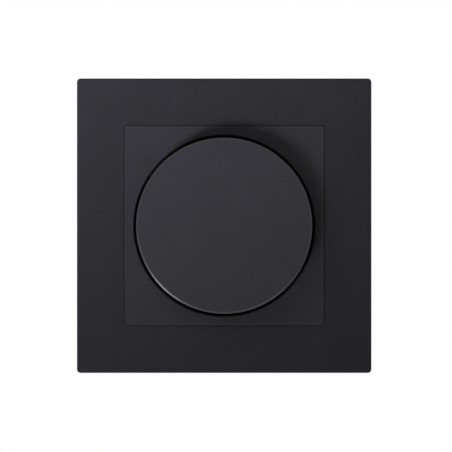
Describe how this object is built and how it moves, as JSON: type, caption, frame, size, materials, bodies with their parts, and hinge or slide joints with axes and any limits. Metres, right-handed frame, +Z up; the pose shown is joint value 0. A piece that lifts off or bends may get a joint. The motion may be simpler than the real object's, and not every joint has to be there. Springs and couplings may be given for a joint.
{
  "type": "wall dimmer",
  "caption": "Flush-mounted wall dimmer with a square matte frame, a square centre plate with a round well and a large round knob that turns and is pressed, on a steel ring with spreading claws.",
  "frame": {"origin": "on the wall plane at the middle of the dimmer, on the axis of the knob", "axes": "+Z up, +X to the right seen from the room, +Y into the wall, so the front faces -Y"},
  "size_m": [0.081, 0.0441, 0.081],
  "materials": {
    "frame_plastic": "fine matte moulding",
    "plate_plastic": "fine matte moulding",
    "knob_plastic": "fine matte moulding",
    "zinc_steel": "zinc plated",
    "spring_steel": "bright",
    "housing_plastic": "moulded",
    "cap_plastic": "moulded",
    "brass": "bright",
    "bare_aluminium": "drawn",
    "board_laminate": "satin",
    "wafer_laminate": "satin",
    "switch_plastic": "moulded",
    "ferrite": "dull",
    "copper_wire": "enamelled",
    "device_plastic": "moulded",
    "film_box": "gloss",
    "fuse_glass": "clear",
    "soft_rubber": "foamed"
  },
  "bodies": {
    "wall_insert": {"cover_frame": "frame_plastic", "centre_plate": "plate_plastic", "damping_ring": "soft_rubber", "plate_nut": "zinc_steel", "support_ring": "zinc_steel", "front_cap": "cap_plastic", "cap_screws": "zinc_steel", "rear_housing": "housing_plastic", "circuit_board": "board_laminate", "pot_bushing": "brass", "pot_case": "bare_aluminium", "track_wafer": "wafer_laminate", "track_pins": "brass", "switch_case": "switch_plastic", "switch_lid": "switch_plastic", "switch_contacts": "brass", "return_spring": "spring_steel", "choke_core": "ferrite", "choke_winding": "copper_wire", "heat_sink": "bare_aluminium", "power_transistors": "device_plastic", "film_capacitor": "film_box", "storage_capacitor": "bare_aluminium", "control_chip": "device_plastic", "fuse_link": "fuse_glass", "fuse_clips": "zinc_steel", "terminal_cages": "brass", "terminal_screws": "zinc_steel"},
    "push_slider": {"switch_plunger": "switch_plastic", "contact_bridge": "brass"},
    "knob": {"control_knob": "knob_plastic", "knob_clip": "spring_steel", "control_shaft": "bare_aluminium", "shaft_circlip": "spring_steel"},
    "wiper": {"wiper_rotor": "switch_plastic", "wiper_contact": "brass"},
    "left_claw": {"claw_left": "zinc_steel"},
    "right_claw": {"claw_right": "zinc_steel"},
    "left_claw_screw": {"claw_screw_left": "zinc_steel"},
    "right_claw_screw": {"claw_screw_right": "zinc_steel"}
  },
  "joints": [
    {"name": "knob_press", "type": "slide", "parent": "wall_insert", "child": "push_slider", "axis": [0, 1, 0], "range_m": [0, 0.0015], "stiffness_N_per_m": 2000, "springref_m": -0.0005, "deforming": ["return_spring"]},
    {"name": "knob_turn", "type": "hinge", "parent": "push_slider", "child": "knob", "pos_m": [0, 0, 0], "axis": [0, 1, 0], "range_deg": [-140, 140]},
    {"name": "wiper_turn", "type": "hinge", "parent": "wall_insert", "child": "wiper", "pos_m": [0, 0, 0], "axis": [0, 1, 0], "range_deg": [-140, 140]},
    {"name": "right_claw_screw_turn", "type": "hinge", "parent": "wall_insert", "child": "right_claw_screw", "pos_m": [0.0245, 0, -0.008], "axis": [0, 1, 0], "range_deg": [0, 800]},
    {"name": "right_claw_swing", "type": "hinge", "parent": "wall_insert", "child": "right_claw", "pos_m": [0.0215, 0.004, -0.008], "axis": [0, 0, -1], "range_deg": [0, 20]},
    {"name": "left_claw_screw_turn", "type": "hinge", "parent": "wall_insert", "child": "left_claw_screw", "pos_m": [-0.0245, 0, 0.008], "axis": [0, 1, 0], "range_deg": [0, 800]},
    {"name": "left_claw_swing", "type": "hinge", "parent": "wall_insert", "child": "left_claw", "pos_m": [-0.0215, 0.004, 0.008], "axis": [0, 0, 1], "range_deg": [0, 20]}
  ],
  "couplings": [
    {"joint": "wiper_turn", "follows": "knob_turn", "ratio": 1},
    {"joint": "right_claw_swing", "follows": "right_claw_screw_turn", "ratio": 0.025},
    {"joint": "left_claw_swing", "follows": "left_claw_screw_turn", "ratio": 0.025}
  ]
}
